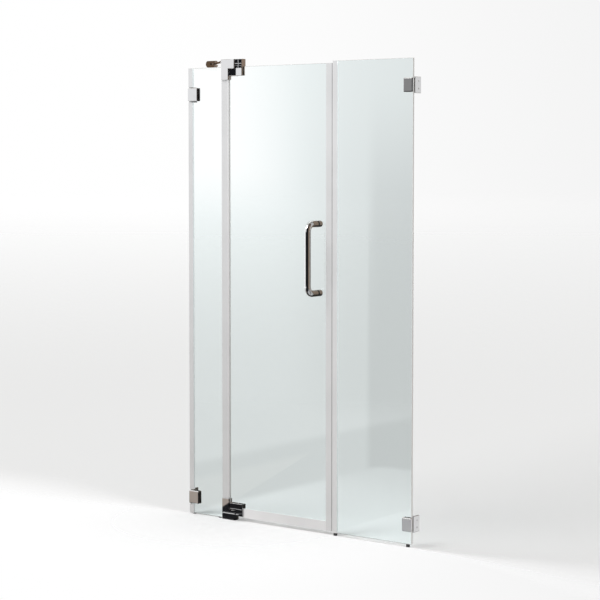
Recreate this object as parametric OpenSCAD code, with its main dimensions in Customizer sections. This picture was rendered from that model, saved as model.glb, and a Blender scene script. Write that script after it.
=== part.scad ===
// Frameless pivot shower door between two side walls, with a fixed glass panel on each side.
// X runs along the glass to the right, Y into the shower, Z up from the threshold.
// The origin is the point where the door's pivot axis meets the threshold.

/* [Glass] */
// Clear width between the two side walls
opening_w = 1098; // [1060:1:1300]
// Height of each fixed panel
glass_h = 1829; // [1600:1:2000]
// Thickness of the tempered glass
glass_t = 10; // [8:0.5:12]
// Distance from the left wall to the door's pivot axis
pivot_from_wall = 231; // [200:1:290]
// Width of the door glass
door_glass_w = 506; // [460:0.5:540]
// Distance from the pivot axis back to the door's hinge-side edge
door_edge_back = 17.5; // [16:0.5:20]
// Distance from the pivot axis back to the left panel's free edge
panel_edge_back = 28; // [27:0.5:30]
// Gap between the glass and each side wall
wall_gap = 3.3; // [3.2:0.1:5]
// Height of the left panel's bottom edge over the threshold
left_lift = 3; // [2:0.5:8]
// How far the right panel stands above the left one
right_rise = 8; // [0:0.5:14]
// Height of the door glass's bottom edge over the threshold
door_lift = 34; // [32:0.5:44]
// Bevel ground along the glass edges
glass_bevel = 0.8; // [0.4:0.1:1.5]

/* [Clamping hardware] */
// Thickness of a clamping plate
plate_t = 7; // [6:0.5:9]
// Thickness of the pads between metal and glass
gasket_t = 1; // [0.5:0.1:2]
// Width of the left wall clamps
left_clamp_w = 52; // [44:1:64]
// Width of the right wall clamps
right_clamp_w = 42; // [38:1:60]
// Height of every wall clamp
clamp_h = 53; // [44:1:66]
// Bevel round the face of the wall clamps
clamp_bevel = 3; // [1:0.5:4]
// Left top clamp's middle below the panel's top edge
left_top_drop = 107; // [80:1:300]
// Left bottom clamp's middle above the panel's bottom edge
left_bottom_rise = 68; // [50:1:300]
// Right top clamp's middle below the panel's top edge
right_top_drop = 100; // [80:1:300]
// Right bottom clamp's middle above the panel's bottom edge
right_bottom_rise = 76; // [50:1:300]
// Thickness of the leg that lies on the wall
wall_leg_t = 6; // [5:0.5:8]
// Reach of that leg into the shower, from the middle of the glass
wall_leg_reach = 46; // [42:1:60]
// How far that leg stands above and below the clamp
wall_leg_over = 4; // [0:0.5:8]
// Spacing of the two wall screws
wall_screw_pitch = 28; // [20:1:36]
// Radius of the wall screw holes
wall_screw_r = 2.75; // [2:0.25:3.5]
// Screw line of a wall clamp, from the wall
clamp_screw_x = 27; // [22:1:30]
// Spacing of the two clamping screws in a wall clamp
clamp_screw_pitch = 26; // [20:1:30]

/* [Pivot hinges] */
// Height of the hinge blocks beyond the glass edge
hinge_over = 30; // [27:0.5:31]
// Length of the fixed bracket's leg along its panel
hinge_leg = 51; // [46:1:70]
// Length of the door clamp along the door
hinge_foot = 36; // [34:1:45]
// How far the fixed arm reaches past the glass edge, down to the thrust face
arm_drop = 6; // [4:0.5:8]
// Radius to which both hinge ends are rounded about the pivot axis
swing_r = 18; // [15.5:0.5:18.5]
// Reach of the fixed bracket from the pivot axis
fixed_reach = 53; // [46:1:70]
// Reach of the door clamp from the pivot axis
door_reach = 53; // [50:1:90]
// Height of the bottom door clamp's riser beyond the glass edge, clear of the threshold
bottom_riser_over = 14; // [8:1:26]
// Thickness of the door clamp's web beside the glass
door_web = 5.2; // [4:0.2:8]
// Small bevel along the hinge edges
hinge_bevel = 0.8; // [0.3:0.1:1.5]
// Height of the joint line over the glass edge
seam_z = 3; // [2:0.5:6]
// Depth of the joint line
seam_depth = 0.5; // [0.2:0.1:0.8]
// Radius of the pivot pin
pin_r = 5; // [4:0.25:5.5]
// Length of pin held in the arm
pin_hold = 26; // [18:1:27]
// Length of pin that stands in the door clamp
pin_stand = 20; // [14:1:22]
// How far the bush and its bore run past the pin's end
bush_past = 3; // [1:0.5:4]
// Wall of the bush that the pin turns in
bush_wall = 2; // [1:0.25:3]
// Thickness of the bush's flange, which carries the door
flange_t = 1.9; // [1:0.1:3]
// Radius of the bush's flange
flange_r = 11; // [9:0.5:12]
// Height of the hinge's grub screw above the thrust face
grub_rise = 14; // [6:0.5:18]

/* [Screws] */
// Radius of a clamping screw's thread
screw_r = 2.5; // [2:0.25:3]
// Radius of a clamping screw's head
head_r = 4.6; // [3.5:0.1:5]
// Depth of the step under a clamping screw's head, from the plate's face
head_t = 3; // [2:0.5:4]
// How far screw heads and pin ends lie below the face
head_sink = 0.5; // [0.2:0.1:0.8]
// Depth that a clamping screw reaches into the outside plate
screw_bite = 4.6; // [3:0.2:5]
// Radius of the holes drilled in the glass for clamping screws
glass_hole_r = 5.5; // [4.5:0.25:6.5]
// Spacing of the screws in a hinge plate
hinge_screw_pitch = 22; // [20:1:24]
// First hinge screw's distance from the glass edge, fixed bracket
bracket_screw_z = 14; // [12:1:18]
// Width across the flats of the hexagon sockets
socket_hex = 3; // [2:0.25:4]
// Depth of the hexagon sockets
socket_hex_l = 2; // [1:0.25:3]
// Spacing of the screws in a door clamp
door_screw_pitch = 16; // [14:1:18]
// First door clamp screw's distance from the glass edge
door_screw_z = 10; // [9:0.5:12]

/* [Brace] */
// Radius of the brace's wall socket
brace_socket_r = 13.5; // [11:0.5:16]
// Length of the wall socket
brace_socket_l = 46; // [42:1:70]
// How far behind the glass the brace meets the wall
brace_depth = 117; // [90:1:200]
// Brace axis below the top face of the top hinge
brace_drop = 8; // [8:0.5:12]
// Radius of the brace rod
brace_rod_r = 4; // [3:0.25:4.5]
// Radius of the rod's flat eye
brace_eye_r = 8.5; // [7:0.5:10]
// Distance from the socket's open end to the pin through the eye
brace_eye_in = 9.5; // [9:0.5:12]
// Radius of the pin through the eye
brace_pin_r = 3; // [2:0.25:3.5]
// Depth of the slot in the socket
brace_slot = 21; // [19:1:24]
// Radius of the socket's bore for the wall stud
brace_bore_r = 5.1; // [4:0.1:6]
// Depth of that bore
brace_bore_l = 18; // [12:1:20]
// Radius of the ball at the hinge end
brace_ball_r = 7; // [6:0.5:9]
// Distance from the ball's middle to the end of the rod in it
brace_seat = 2; // [1:0.25:3]
// Length of the ball's threaded shank in the hinge
brace_shank_l = 12; // [8:1:16]

/* [Handle] */
// Distance from the handle's axis to the door's free edge
handle_from_edge = 70.5; // [50:0.5:110]
// Height of the lower post over the threshold
handle_z = 942; // [700:1:1100]
// Distance between the two posts
handle_pitch = 270; // [200:1:460]
// Distance from the glass face to the grip's axis
handle_standoff = 57; // [48:1:75]
// Radius of the handle tube
handle_r = 12.5; // [9:0.5:14]
// Wall of the handle tube
handle_wall = 2; // [1.5:0.25:3]
// Radius of the tube's bends, at its middle
handle_bend = 30; // [20:1:34]
// Length of the inside caps
handle_cap_l = 20; // [14:1:30]
// Metal left between a bolt and the end of its inside cap
handle_cap_end = 4; // [2:0.5:6]
// Bevel round the end of the inside caps
handle_cap_bevel = 1.6; // [0.5:0.1:3]
// Thickness of the handle's washers
handle_washer_t = 1; // [0.5:0.25:2]
// Radius of the handle bolts
handle_bolt_r = 4; // [3:0.25:5]
// Radius of the glass holes under the handle
handle_hole_r = 7; // [6:0.5:9]
// Depth of the threaded inserts in the tube ends
insert_l = 18; // [12:1:24]

/* [Seals] */
// Thickness of the seal profiles' legs
seal_leg_t = 1.5; // [1:0.1:2.5]
// Width of the channel along the left wall
wall_channel_w = 21.5; // [14:0.5:24]
// Thickness of that channel's back
wall_channel_web = 3; // [2:0.1:3]
// Width of the seal on the left panel's free edge
hinge_seal_w = 31; // [20:0.5:36]
// Thickness of that seal's back
hinge_seal_web = 3; // [2:0.25:4]
// Thickness of its soft lip
lip_t = 1.2; // [0.8:0.1:2]
// Width of the seal on the door's free edge
edge_seal_w = 27.3; // [20:0.1:34]
// Width of the strike profile on the right panel
strike_w = 21.3; // [16:0.1:28]
// Thickness of the two magnet strips
magnet_t = 2.4; // [1.5:0.1:3]
// Width of the two magnet strips
magnet_w = 8; // [5:0.5:9]
// Wall in front of and behind each magnet
magnet_wall = 1; // [0.6:0.1:1.5]
// Gap between the door's seal and the strike
strike_gap = 3.1; // [2:0.1:5]
// Lap of the stop fin behind the door's seal
stop_lap = 9; // [5:0.5:12]
// Thickness of the stop fin
stop_t = 1.2; // [0.8:0.1:2]
// Height of the sweep's legs on the glass
sweep_up = 19; // [14:0.5:26]
// Reach of the sweep below the glass
sweep_down = 18.5; // [14:0.5:24]
// Thickness of the sweep's back under the glass
sweep_web = 2.5; // [1.5:0.25:4]
// Reach of the sweep's drip rail into the shower
drip_reach = 9; // [4:0.5:14]
// Width of that rail
drip_w = 3; // [2:0.25:4]
// Length of a setting block
block_l = 12; // [8:1:40]

/* [Clearances] */
// Gap between the fixed and the moving hinge pieces
part_gap = 0.3; // [0.2:0.05:0.5]
// Radial clearance of the pivot pin in its bush
run_clear = 0.05; // [0.02:0.01:0.09]
// Radial clearance of screws, pins and bushes that stay put
snug = 0.02; // [0.01:0.01:0.05]
// Clearance between seal legs and glass
seal_clear = 0.15; // [0.05:0.05:0.3]
// Clearance round a hinge block where the glass is cut away
notch_gap = 2; // [1:0.25:3]
// Radial clearance of a screw in a plate it passes through
pass_clear = 0.3; // [0.1:0.05:0.5]
// Gap over the thrust face of the bush
thrust_gap = 0.1; // [0.05:0.05:0.2]
// Gap above and below the rod's eye in its slot
slot_clear = 0.5; // [0.2:0.1:1]
// Gap between the metal over a glass edge and that edge
edge_gap = 0.5; // [0.3:0.1:1]

/* [Hidden] */
$fn = 64;

chrome_colour = "silver";
glass_colour = [0.82, 0.88, 0.87, 0.45];
seal_colour = "gainsboro";
rubber_colour = "dimgray";
nylon_colour = "whitesmoke";
magnet_colour = "gray";

// Small overshoot that keeps cuts clean
over = 1;

// Places along X
wall_l = -pivot_from_wall;
wall_r = opening_w - pivot_from_wall;
left_x0 = wall_l + wall_gap;
left_x1 = -panel_edge_back;
door_x0 = -door_edge_back;
door_x1 = door_glass_w - door_edge_back;
magnet_web = magnet_t + 2 * magnet_wall;
edge_seal_x1 = door_x1 + magnet_web;
strike_x0 = edge_seal_x1 + strike_gap;
right_x0 = strike_x0 + magnet_web;
right_x1 = wall_r - wall_gap;

// Places along Y
glass_y = glass_t / 2;
pad_y = glass_y + gasket_t;
half_depth = pad_y + plate_t;
seal_y0 = glass_y + seal_clear;
seal_y1 = seal_y0 + seal_leg_t;

// Places along Z
top_z = left_lift + glass_h;
right_z0 = left_lift + right_rise;
right_z1 = right_z0 + glass_h;
pad_t = door_lift - hinge_over;
sweep_z0 = door_lift - sweep_down;

// Hinge sizes that follow from the others
heel_r = norm([door_edge_back, glass_y]);
leg_x = max(swing_r, heel_r) + part_gap;
riser_x = swing_r + part_gap;
foot_z = arm_drop + flange_t + thrust_gap;
door_cut = riser_x + door_web;
fixed_cut = panel_edge_back - edge_gap;
bush_r = pin_r + bush_wall;
bush_l = pin_stand + bush_past;
bracket_screw_x = -(fixed_reach + fixed_cut) / 2;
door_screw_x = (door_cut + door_reach) / 2;

// Wall clamp heights
left_clamps = [top_z - left_top_drop, left_lift + left_bottom_rise];
right_clamps = [right_z1 - right_top_drop, right_z0 + right_bottom_rise];

// Brace places: the swivel pin in the wall socket and the ball beside the hinge
brace_z = top_z + hinge_over - brace_drop;
brace_a = [wall_l + brace_socket_l - brace_eye_in, brace_depth];
brace_b = [-fixed_reach - brace_ball_r, 0];
brace_turn = atan2(brace_b[1] - brace_a[1], brace_b[0] - brace_a[0]);
brace_l = norm(brace_b - brace_a);

// Handle places
handle_x = door_x1 - handle_from_edge;
grip_y = -glass_y - handle_standoff;
post_y = -glass_y - handle_washer_t;

// Box given by its limits
module slab(x0, x1, y0, y1, z0, z1) {
    translate([x0, y0, z0]) cube([x1 - x0, y1 - y0, z1 - z0]);
}

// Rectangle with its four corners cut at 45 degrees
module cut_rect(a0, a1, b0, b1, c) {
    polygon([
        [a0 + c, b0], [a1 - c, b0], [a1, b0 + c], [a1, b1 - c],
        [a1 - c, b1], [a0 + c, b1], [a0, b1 - c], [a0, b0 + c]
    ]);
}

// A profile drawn in Y and Z, run along X
module along_x(x0, x1) {
    translate([x0, 0, 0]) rotate([90, 0, 90]) linear_extrude(x1 - x0) children();
}

// A profile drawn in X and Z, run along Y
module along_y(y0, y1) {
    translate([0, y1, 0]) rotate([90, 0, 0]) linear_extrude(y1 - y0) children();
}

// A profile drawn in X and Y, run along Z
module along_z(z0, z1) {
    translate([0, 0, z0]) linear_extrude(z1 - z0) children();
}

// Box with all its edges bevelled
module bevelled_slab(x0, x1, y0, y1, z0, z1, c) {
    intersection() {
        along_x(x0, x1) cut_rect(y0, y1, z0, z1, c);
        along_y(y0, y1) cut_rect(x0, x1, z0, z1, c);
        along_z(z0, z1) cut_rect(x0, x1, y0, y1, c);
    }
}

// Round bar along Y between two limits
module rod_y(x, z, r, y0, y1) {
    translate([x, y1, z]) rotate([90, 0, 0]) cylinder(r = r, h = y1 - y0);
}

// Hexagon socket along Y, from its mouth inwards
module hex_y(x, z, y0, y1) {
    translate([x, y1, z]) rotate([90, 0, 0])
        cylinder(r = socket_hex / sqrt(3), h = y1 - y0, $fn = 6);
}

// Round tube along Y
module sleeve_y(x, z, r, bore, y0, y1) {
    difference() {
        rod_y(x, z, r, y0, y1);
        rod_y(x, z, bore, y0 - over, y1 + over);
    }
}

// The hinges are drawn with Z = 0 at the glass edge and Z up, away from the glass
module at_top() {
    translate([0, 0, top_z]) children();
}

module at_bottom() {
    translate([0, 0, door_lift]) mirror([0, 0, 1]) children();
}

module at_both() {
    at_top() children();
    at_bottom() children();
}

// The wall clamps are drawn from the wall at X = 0, round Z = 0
module at_left(z) {
    translate([wall_l, 0, z]) children();
}

module at_right(z) {
    translate([wall_r, 0, z]) mirror([1, 0, 0]) children();
}

module at_wall_clamps() {
    for (z = left_clamps) at_left(z) children();
    for (z = right_clamps) at_right(z) children();
}

// Screw places, each as [x, z] in its own drawing
clamp_screws = [for (s = [-1, 1]) [clamp_screw_x, s * clamp_screw_pitch / 2]];
bracket_places = [for (i = [0, 1]) [bracket_screw_x, -bracket_screw_z - i * hinge_screw_pitch]];
door_places = [for (i = [0, 1]) [door_screw_x, -door_screw_z - i * door_screw_pitch]];

// Glass

// Holes in the glass for a list of clamping screws
module glass_holes(places) {
    for (p = places) rod_y(p[0], p[1], glass_hole_r, -glass_t, glass_t);
}

module left_fixed_panel() {
    color(glass_colour) difference() {
        bevelled_slab(left_x0, left_x1, -glass_y, glass_y, left_lift, top_z, glass_bevel);
        slab(-fixed_reach - notch_gap, left_x1 + over, -glass_t, glass_t,
            left_lift - over, door_lift);
        for (z = left_clamps) at_left(z) glass_holes(clamp_screws);
        at_both() glass_holes(bracket_places);
    }
}

module right_fixed_panel() {
    color(glass_colour) difference() {
        bevelled_slab(right_x0, right_x1, -glass_y, glass_y, right_z0, right_z1, glass_bevel);
        for (z = right_clamps) at_right(z) glass_holes(clamp_screws);
    }
}

module door_panel() {
    color(glass_colour) difference() {
        bevelled_slab(door_x0, door_x1, -glass_y, glass_y, door_lift, top_z, glass_bevel);
        at_both() slab(door_x0 - over, door_cut + edge_gap, -glass_t, glass_t,
            -hinge_foot - notch_gap, over);
        at_both() glass_holes(door_places);
        for (i = [0, 1])
            rod_y(handle_x, handle_z + i * handle_pitch, handle_hole_r, -glass_t, glass_t);
    }
}

// Clamping pieces shared by the wall clamps and the hinges

// A socket head screw that clamps two plates on the glass from the shower side
module clamp_screw(p) {
    difference() {
        union() {
            rod_y(p[0], p[1], screw_r, -pad_y - screw_bite, half_depth - head_t);
            rod_y(p[0], p[1], head_r, half_depth - head_t, half_depth - head_sink);
        }
        hex_y(p[0], p[1], half_depth - head_sink - socket_hex_l, half_depth);
    }
}

// The hole that such a screw leaves in the plate on the shower side
module head_hole(p) {
    rod_y(p[0], p[1], screw_r + pass_clear, 0, half_depth + over);
    rod_y(p[0], p[1], head_r + pass_clear, half_depth - head_t, half_depth + over);
}

// The blind threaded hole that it leaves in the plate outside
module bite_hole(p) {
    rod_y(p[0], p[1], screw_r + snug, -pad_y - screw_bite - snug, 0);
}

// A plastic sleeve that keeps the screw off the glass
module screw_sleeve(p) {
    sleeve_y(p[0], p[1], glass_hole_r - snug, screw_r + pass_clear, -glass_y, glass_y);
}

// A pair of pads, one on each side of the glass
module pad_pair(x0, x1, z0, z1, places) {
    difference() {
        for (s = [-1, 1])
            translate([0, s * (glass_y + gasket_t / 2), 0])
                slab(x0, x1, -gasket_t / 2, gasket_t / 2, z0, z1);
        for (p = places) rod_y(p[0], p[1], screw_r + pass_clear, -pad_y - over, pad_y + over);
    }
}

// Wall clamps

// Outer form of a wall clamp without its wall leg
module clamp_form(w) {
    bevelled_slab(0, w, -half_depth, half_depth, -clamp_h / 2, clamp_h / 2, clamp_bevel);
}

module clamp_body(w) {
    color(chrome_colour) difference() {
        union() {
            intersection() {
                clamp_form(w);
                slab(0, w, pad_y, half_depth, -clamp_h, clamp_h);
            }
            bevelled_slab(0, wall_leg_t, pad_y, wall_leg_reach,
                -clamp_h / 2 - wall_leg_over, clamp_h / 2 + wall_leg_over, hinge_bevel);
        }
        for (p = clamp_screws) head_hole(p);
        for (s = [-1, 1])
            translate([-over, (half_depth + wall_leg_reach) / 2, s * wall_screw_pitch / 2])
                rotate([0, 90, 0]) cylinder(r = wall_screw_r, h = wall_leg_t + 2 * over);
    }
}

module clamp_cover(w) {
    color(chrome_colour) difference() {
        intersection() {
            clamp_form(w);
            slab(0, w, -half_depth, -pad_y, -clamp_h, clamp_h);
        }
        for (p = clamp_screws) bite_hole(p);
    }
}

module left_top_clamp_body() { at_left(left_clamps[0]) clamp_body(left_clamp_w); }
module left_bottom_clamp_body() { at_left(left_clamps[1]) clamp_body(left_clamp_w); }
module right_top_clamp_body() { at_right(right_clamps[0]) clamp_body(right_clamp_w); }
module right_bottom_clamp_body() { at_right(right_clamps[1]) clamp_body(right_clamp_w); }
module left_top_clamp_cover() { at_left(left_clamps[0]) clamp_cover(left_clamp_w); }
module left_bottom_clamp_cover() { at_left(left_clamps[1]) clamp_cover(left_clamp_w); }
module right_top_clamp_cover() { at_right(right_clamps[0]) clamp_cover(right_clamp_w); }
module right_bottom_clamp_cover() { at_right(right_clamps[1]) clamp_cover(right_clamp_w); }

module clamp_pads(w) {
    pad_pair(wall_gap + glass_bevel, w - clamp_bevel,
        clamp_bevel - clamp_h / 2, clamp_h / 2 - clamp_bevel, clamp_screws);
}

module wall_clamp_gaskets() {
    color(rubber_colour) {
        for (z = left_clamps) at_left(z) clamp_pads(left_clamp_w);
        for (z = right_clamps) at_right(z) clamp_pads(right_clamp_w);
    }
}

module wall_clamp_screws() {
    color(chrome_colour) at_wall_clamps() for (p = clamp_screws) clamp_screw(p);
}

module wall_clamp_sleeves() {
    color(nylon_colour) at_wall_clamps() for (p = clamp_screws) screw_sleeve(p);
}

// Fixed half of a pivot hinge

// Outer form of the fixed half, drawn in by i for the joint line
module bracket_form(i) {
    intersection() {
        along_y(i - half_depth, half_depth - i) polygon([
            [i - fixed_reach, -hinge_leg], [-leg_x, -hinge_leg], [-leg_x, -arm_drop],
            [swing_r - i, -arm_drop], [swing_r - i, hinge_over], [i - fixed_reach, hinge_over]
        ]);
        along_x(i - fixed_reach, swing_r - i)
            cut_rect(-half_depth, half_depth, -hinge_leg, hinge_over, hinge_bevel);
        along_z(-hinge_leg, hinge_over)
            cut_rect(-fixed_reach, swing_r + hinge_bevel, -half_depth, half_depth, hinge_bevel);
        union() {
            translate([0, 0, -hinge_leg]) cylinder(r = swing_r - i, h = hinge_leg + hinge_over);
            slab(-fixed_reach, 0, -half_depth, half_depth, -hinge_leg, hinge_over);
        }
    }
}

// Thin line cut round a hinge block where its two castings meet
module joint_line() {
    difference() {
        slab(-2 * fixed_reach, 2 * door_reach, -2 * half_depth, 2 * half_depth,
            seam_z - seam_depth / 2, seam_z + seam_depth / 2);
        children();
    }
}

// Space in the fixed half for the glass, the pads and the back plate
module bracket_pocket() {
    slab(-fixed_reach - over, -fixed_cut, -pad_y, half_depth + over,
        -hinge_leg - over, edge_gap);
}

module bracket_body() {
    difference() {
        bracket_form(0);
        bracket_pocket();
        joint_line() bracket_form(seam_depth);
        translate([0, 0, -arm_drop - over]) cylinder(r = pin_r + snug, h = pin_hold + over);
        rod_y(0, grub_rise - arm_drop, screw_r + snug, 0, half_depth + over);
        for (p = bracket_places) bite_hole(p);
    }
}

module bracket_back_plate() {
    color(chrome_colour) difference() {
        intersection() {
            bracket_form(0);
            slab(-fixed_reach - over, -fixed_cut - snug, pad_y, half_depth,
                -hinge_leg, 0);
        }
        for (p = bracket_places) head_hole(p);
    }
}

module top_bracket_body() {
    color(chrome_colour) at_top() difference() {
        bracket_body();
        translate([-fixed_reach - over, 0, hinge_over - brace_drop]) rotate([0, 90, 0])
            cylinder(r = screw_r + snug, h = brace_shank_l + over);
    }
}

module bottom_bracket_body() { color(chrome_colour) at_bottom() bracket_body(); }
module top_bracket_back_plate() { at_top() bracket_back_plate(); }
module bottom_bracket_back_plate() { at_bottom() bracket_back_plate(); }

module bracket_gaskets() {
    color(rubber_colour) at_both() pad_pair(hinge_bevel - fixed_reach,
        -panel_edge_back - glass_bevel, hinge_bevel - hinge_leg, -glass_bevel, bracket_places);
}

module bracket_screws() {
    color(chrome_colour) at_both() for (p = bracket_places) clamp_screw(p);
}

module bracket_sleeves() {
    color(nylon_colour) at_both() for (p = bracket_places) screw_sleeve(p);
}

// Pin pressed in the arm, with a bevelled free end
module pivot_pin() {
    color(chrome_colour) translate([0, 0, -arm_drop - pin_stand]) rotate_extrude()
        polygon([
            [0, 0], [pin_r - hinge_bevel, 0], [pin_r, hinge_bevel],
            [pin_r, pin_stand + pin_hold - snug], [0, pin_stand + pin_hold - snug]
        ]);
}

module top_pivot_pin() { at_top() pivot_pin(); }
module bottom_pivot_pin() { at_bottom() pivot_pin(); }

// Grub screw that locks the pin, reached from inside the shower
module pivot_grub_screws() {
    color(chrome_colour) at_both() difference() {
        rod_y(0, grub_rise - arm_drop, screw_r, pin_r + 2 * snug, half_depth - head_sink);
        hex_y(0, grub_rise - arm_drop, half_depth - head_sink - socket_hex_l, half_depth);
    }
}

// Pad that beds the bottom bracket on the threshold
module bottom_bracket_pad() {
    color(rubber_colour) slab(hinge_bevel - fixed_reach, swing_r / 2,
        hinge_bevel - half_depth, half_depth - hinge_bevel, 0, pad_t);
}

// Moving half of a pivot hinge

// Outer form of the moving half, its riser up high, drawn in by i for the joint line
module door_form(i, up) {
    intersection() {
        along_y(i - half_depth, half_depth - i) polygon([
            [i - swing_r, -hinge_foot], [door_reach - i, -hinge_foot],
            [door_reach - i, up], [riser_x, up], [riser_x, -foot_z],
            [i - swing_r, -foot_z]
        ]);
        along_x(i - swing_r, door_reach - i)
            cut_rect(-half_depth, half_depth, -hinge_foot, up, hinge_bevel);
        along_z(-hinge_foot, hinge_over)
            cut_rect(-swing_r - hinge_bevel, door_reach, -half_depth, half_depth, hinge_bevel);
        union() {
            translate([0, 0, -hinge_foot]) cylinder(r = swing_r - i, h = hinge_foot + hinge_over);
            slab(0, door_reach, -half_depth, half_depth, -hinge_foot, hinge_over);
        }
    }
}

module door_clamp_body(up) {
    color(chrome_colour) difference() {
        door_form(0, up);
        slab(door_cut, door_reach + over, -pad_y, half_depth + over,
            -hinge_foot - over, edge_gap);
        joint_line() door_form(seam_depth, up);
        translate([0, 0, -arm_drop - bush_l])
            cylinder(r = bush_r + snug, h = bush_l + over);
        for (p = door_places) bite_hole(p);
    }
}

module door_clamp_back_plate() {
    color(chrome_colour) difference() {
        intersection() {
            door_form(0, hinge_over);
            slab(door_cut + snug, door_reach + over, pad_y, half_depth, -hinge_foot, 0);
        }
        for (p = door_places) head_hole(p);
    }
}

module top_door_clamp_body() { at_top() door_clamp_body(hinge_over); }
module bottom_door_clamp_body() { at_bottom() door_clamp_body(bottom_riser_over); }
module top_door_clamp_back_plate() { at_top() door_clamp_back_plate(); }
module bottom_door_clamp_back_plate() { at_bottom() door_clamp_back_plate(); }

module door_clamp_gaskets() {
    color(rubber_colour) at_both() pad_pair(door_cut + edge_gap + snug,
        door_reach - hinge_bevel, hinge_bevel - hinge_foot, -glass_bevel, door_places);
}

module door_clamp_screws() {
    color(chrome_colour) at_both() for (p = door_places) clamp_screw(p);
}

module door_clamp_sleeves() {
    color(nylon_colour) at_both() for (p = door_places) screw_sleeve(p);
}

// Flanged bush in the door clamp, which turns on the pin
module pivot_bush() {
    color(nylon_colour) translate([0, 0, -arm_drop]) rotate_extrude() polygon([
        [pin_r + run_clear, -thrust_gap], [flange_r, -thrust_gap],
        [flange_r, -thrust_gap - flange_t], [bush_r, -thrust_gap - flange_t],
        [bush_r, -bush_l], [pin_r + run_clear, -bush_l]
    ]);
}

module top_pivot_bush() { at_top() pivot_bush(); }
module bottom_pivot_bush() { at_bottom() pivot_bush(); }

// Brace from the left wall to the top hinge

module brace_wall_socket() {
    color(chrome_colour) difference() {
        translate([wall_l, brace_depth, brace_z]) rotate([0, 90, 0]) rotate_extrude()
            polygon([
                [0, 0], [brace_socket_r - hinge_bevel, 0], [brace_socket_r, hinge_bevel],
                [brace_socket_r, brace_socket_l - hinge_bevel],
                [brace_socket_r - hinge_bevel, brace_socket_l], [0, brace_socket_l]
            ]);
        translate([wall_l - over, brace_depth, brace_z]) rotate([0, 90, 0])
            cylinder(r = brace_bore_r, h = brace_bore_l + over);
        slab(wall_l + brace_socket_l - brace_slot, wall_l + brace_socket_l + over,
            brace_depth - 2 * brace_socket_r, brace_depth + 2 * brace_socket_r,
            brace_z - brace_rod_r - slot_clear, brace_z + brace_rod_r + slot_clear);
        translate([brace_a[0], brace_a[1], brace_z - 2 * brace_socket_r])
            cylinder(r = brace_pin_r + snug, h = 4 * brace_socket_r);
        translate([wall_l + brace_bore_l / 2, brace_depth, brace_z - 2 * brace_socket_r])
            cylinder(r = screw_r + snug, h = 2 * brace_socket_r);
    }
}

module brace_grub_screw() {
    color(chrome_colour)
        translate([wall_l + brace_bore_l / 2, brace_depth, brace_z - brace_socket_r + head_sink])
            difference() {
                cylinder(r = screw_r, h = brace_socket_r - brace_bore_r - head_sink - snug);
                translate([0, 0, -over])
                    cylinder(r = socket_hex / sqrt(3), h = socket_hex_l + over, $fn = 6);
            }
}

module brace_rod() {
    color(chrome_colour) translate([brace_a[0], brace_a[1], brace_z])
        rotate([0, 0, brace_turn]) difference() {
            union() {
                translate([0, 0, -brace_rod_r]) cylinder(r = brace_eye_r, h = 2 * brace_rod_r);
                rotate([0, 90, 0]) cylinder(r = brace_rod_r, h = brace_l - brace_seat);
            }
            translate([0, 0, -2 * brace_rod_r])
                cylinder(r = brace_pin_r + snug, h = 4 * brace_rod_r);
        }
}

module brace_swivel_pin() {
    color(chrome_colour)
        translate([brace_a[0], brace_a[1], brace_z - brace_socket_r + head_sink])
            cylinder(r = brace_pin_r, h = 2 * (brace_socket_r - head_sink));
}

// Ball with a bore for the rod and a collar and shank for the hinge
module brace_knuckle() {
    color(chrome_colour) translate([brace_b[0], brace_b[1], brace_z]) difference() {
        union() {
            sphere(r = brace_ball_r);
            rotate([0, 90, 0]) cylinder(r = brace_rod_r, h = brace_ball_r);
            rotate([0, 90, 0]) cylinder(r = screw_r, h = brace_ball_r + brace_shank_l - snug);
        }
        rotate([0, 0, brace_turn]) rotate([0, -90, 0]) translate([0, 0, brace_seat - snug])
            cylinder(r = brace_rod_r + snug, h = 2 * brace_ball_r);
    }
}

// Handle

// A round bar of radius r along the handle's path, with its ends at e in Y
module handle_path(r, e) {
    z1 = handle_z + handle_pitch;
    for (z = [handle_z, z1]) rod_y(handle_x, z, r, grip_y + handle_bend, e);
    translate([handle_x, grip_y, handle_z + handle_bend])
        cylinder(r = r, h = handle_pitch - 2 * handle_bend);
    translate([handle_x, grip_y + handle_bend, handle_z + handle_bend]) rotate([90, 0, 90])
        rotate([0, 0, 180]) rotate_extrude(angle = 90) translate([handle_bend, 0]) circle(r = r);
    translate([handle_x, grip_y + handle_bend, z1 - handle_bend]) rotate([90, 0, 90])
        rotate([0, 0, 90]) rotate_extrude(angle = 90) translate([handle_bend, 0]) circle(r = r);
}

module handle_tube() {
    color(chrome_colour) difference() {
        handle_path(handle_r, post_y);
        handle_path(handle_r - handle_wall, post_y + over);
    }
}

// One copy at each post
module at_posts() {
    for (i = [0, 1]) translate([handle_x, 0, handle_z + i * handle_pitch]) children();
}

module handle_inserts() {
    color(chrome_colour) at_posts() sleeve_y(0, 0, handle_r - handle_wall - snug,
        handle_bolt_r + snug, post_y - insert_l, post_y);
}

module handle_bolts() {
    color(chrome_colour) at_posts() rod_y(0, 0, handle_bolt_r, post_y - insert_l,
        glass_y + handle_washer_t + handle_cap_l - handle_cap_end);
}

module handle_sleeves() {
    color(nylon_colour) at_posts() sleeve_y(0, 0, handle_hole_r - snug,
        handle_bolt_r + pass_clear, -glass_y, glass_y);
}

module handle_washers() {
    color(rubber_colour) at_posts() {
        sleeve_y(0, 0, handle_r, handle_bolt_r + pass_clear, -glass_y - handle_washer_t, -glass_y);
        sleeve_y(0, 0, handle_r, handle_bolt_r + pass_clear, glass_y, glass_y + handle_washer_t);
    }
}

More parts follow.
